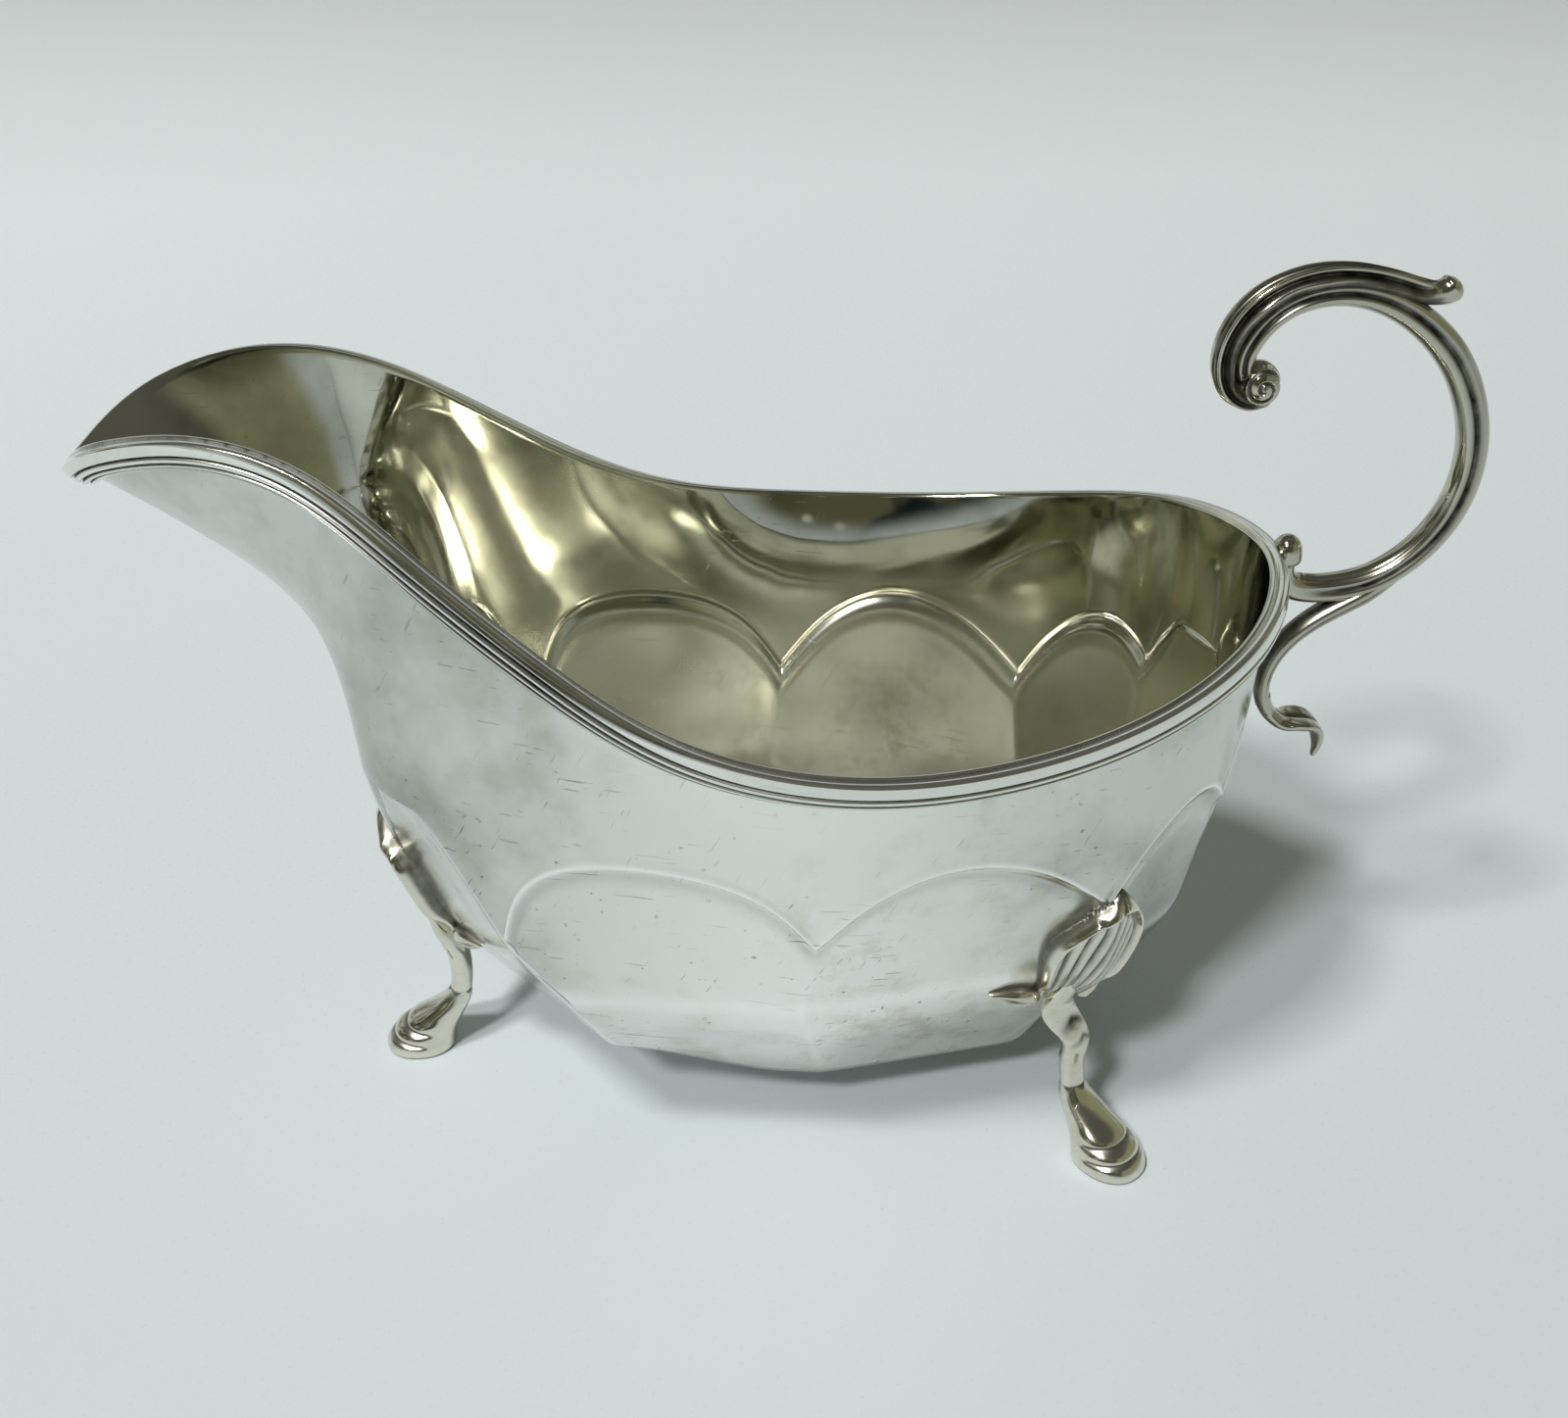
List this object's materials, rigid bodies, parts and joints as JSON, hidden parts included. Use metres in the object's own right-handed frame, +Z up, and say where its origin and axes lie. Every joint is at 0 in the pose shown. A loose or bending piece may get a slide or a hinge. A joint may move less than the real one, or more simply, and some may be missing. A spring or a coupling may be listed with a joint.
{
  "type": "sauce boat",
  "caption": "Footed silver sauce boat: panelled bowl with a raised pouring lip, reeded rim wire, flying scroll handle and shell-knee hoof feet; holds and pours sauce.",
  "frame": {"origin": "middle of the footprint, on the plane the soles stand on", "axes": "+X towards the handle, the lip points to -X; +Z up; +Y to the left of someone looking along +X"},
  "size_m": [0.1713, 0.0826, 0.1102],
  "materials": {
    "bowl_silver": "hand-polished sterling silver, worn satin outside and mirror bright inside",
    "rim_silver": "polished sterling silver with dark grooves between the reeds",
    "cast_silver": "cast and chased sterling silver, bright on the ridges and oxidised in the grooves",
    "foot_silver": "cast sterling silver, bright on the hooves and oxidised between the flutes"
  },
  "bodies": {
    "root": {"bowl": "bowl_silver", "rim_moulding": "rim_silver", "handle_scroll": "cast_silver", "handle_leaf": "cast_silver", "handle_volute": "cast_silver", "handle_bud": "cast_silver", "handle_bracket": "cast_silver", "handle_tail_leaf": "cast_silver", "handle_pad": "cast_silver", "foot_front_shell": "foot_silver", "foot_front_leg": "foot_silver", "foot_front_hoof": "foot_silver", "foot_front_leaf_left": "foot_silver", "foot_front_leaf_right": "foot_silver", "foot_rear_left_shell": "foot_silver", "foot_rear_left_leg": "foot_silver", "foot_rear_left_hoof": "foot_silver", "foot_rear_left_leaf_left": "foot_silver", "foot_rear_left_leaf_right": "foot_silver", "foot_rear_right_shell": "foot_silver", "foot_rear_right_leg": "foot_silver", "foot_rear_right_hoof": "foot_silver", "foot_rear_right_leaf_left": "foot_silver", "foot_rear_right_leaf_right": "foot_silver"}
  },
  "joints": []
}
